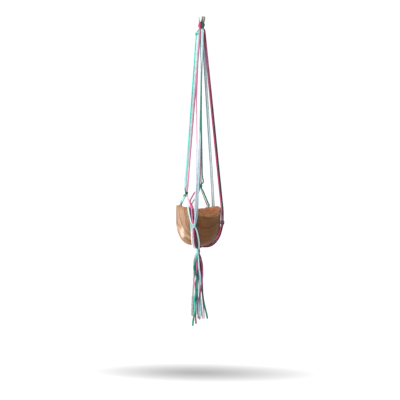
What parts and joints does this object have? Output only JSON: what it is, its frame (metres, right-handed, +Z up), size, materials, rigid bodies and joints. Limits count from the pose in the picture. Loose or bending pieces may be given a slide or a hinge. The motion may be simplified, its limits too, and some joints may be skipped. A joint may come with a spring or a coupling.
{
  "type": "hanging macrame planter",
  "caption": "Hanging macrame planter: a natural-edge wooden bowl in a net of knotted coloured yarns, with a hanging loop at the top and a tassel below.",
  "frame": {"origin": "the point where a hook bears, inside the crown of the hanging loop", "axes": "+Z up along the hanging line, +X to the right and -Y towards a viewer at the front"},
  "size_m": [0.1553, 0.1668, 1.005],
  "materials": {
    "wood": "satin",
    "yarn_teal": "matte",
    "yarn_dark_teal": "matte",
    "yarn_mint": "matte",
    "yarn_white": "matte",
    "yarn_pink": "matte",
    "yarn_rose": "matte",
    "yarn_maroon": "matte",
    "yarn_blue": "matte",
    "yarn_lilac": "matte",
    "yarn_grey": "matte",
    "yarn_sage": "matte",
    "yarn_olive": "matte",
    "yarn_navy": "matte",
    "yarn_green": "matte"
  },
  "bodies": {
    "hook_end": {"loop_grey": "yarn_grey", "loop_green": "yarn_green", "loop_sage": "yarn_sage", "loop_dark": "yarn_dark_teal"},
    "top_knot": {"top_knot": "yarn_maroon"},
    "net": {"join_knot": "yarn_teal", "knot_left": "yarn_dark_teal", "knot_middle": "yarn_maroon", "knot_front": "yarn_blue", "knot_right": "yarn_dark_teal", "knot_back": "yarn_lilac", "cord_teal_left": "yarn_teal", "cord_mint_left": "yarn_mint", "cord_white_left": "yarn_white", "cord_pink_left": "yarn_pink", "cord_white_front": "yarn_white", "cord_blue_front": "yarn_blue", "cord_pink_front": "yarn_pink", "cord_teal_middle": "yarn_dark_teal", "cord_rose_middle": "yarn_rose", "cord_maroon_middle": "yarn_maroon", "cord_grey_middle": "yarn_grey", "cord_grey_back": "yarn_grey", "cord_lilac_back": "yarn_lilac", "cord_pink_right": "yarn_pink", "cord_maroon_right": "yarn_maroon", "cord_green_right": "yarn_green"},
    "bowl": {"bowl": "wood"},
    "gather": {"gather_wrap": "yarn_blue"},
    "tassel": {"tail_teal": "yarn_teal", "tail_blue": "yarn_blue", "tail_pink": "yarn_pink", "tail_white": "yarn_white", "tail_rosy": "yarn_rose", "tail_maroon": "yarn_maroon", "tail_mint": "yarn_mint", "tail_short": "yarn_dark_teal", "tail_sage": "yarn_sage", "tail_grey": "yarn_grey", "tail_green": "yarn_green", "tail_olive": "yarn_olive", "tail_lilac": "yarn_lilac", "tail_navy": "yarn_navy", "tail_pale": "yarn_white", "tail_plum": "yarn_maroon"}
  },
  "joints": [
    {"name": "swing_side", "type": "hinge", "parent": "hook_end", "child": "top_knot", "pos_m": [0, 0, -0.025], "axis": [0, 1, 0], "range_deg": [-30, 30]},
    {"name": "swing_front", "type": "hinge", "parent": "top_knot", "child": "net", "pos_m": [0, 0, -0.025], "axis": [1, 0, 0], "range_deg": [-30, 30]},
    {"name": "bowl_lift", "type": "slide", "parent": "net", "child": "bowl", "axis": [0, 0, 1], "range_m": [0, 0.002]},
    {"name": "tassel_side", "type": "hinge", "parent": "net", "child": "gather", "pos_m": [0, 0, -0.7548], "axis": [0, 1, 0], "range_deg": [-30, 30]},
    {"name": "tassel_front", "type": "hinge", "parent": "gather", "child": "tassel", "pos_m": [0, 0, -0.7608], "axis": [1, 0, 0], "range_deg": [-30, 30]}
  ]
}
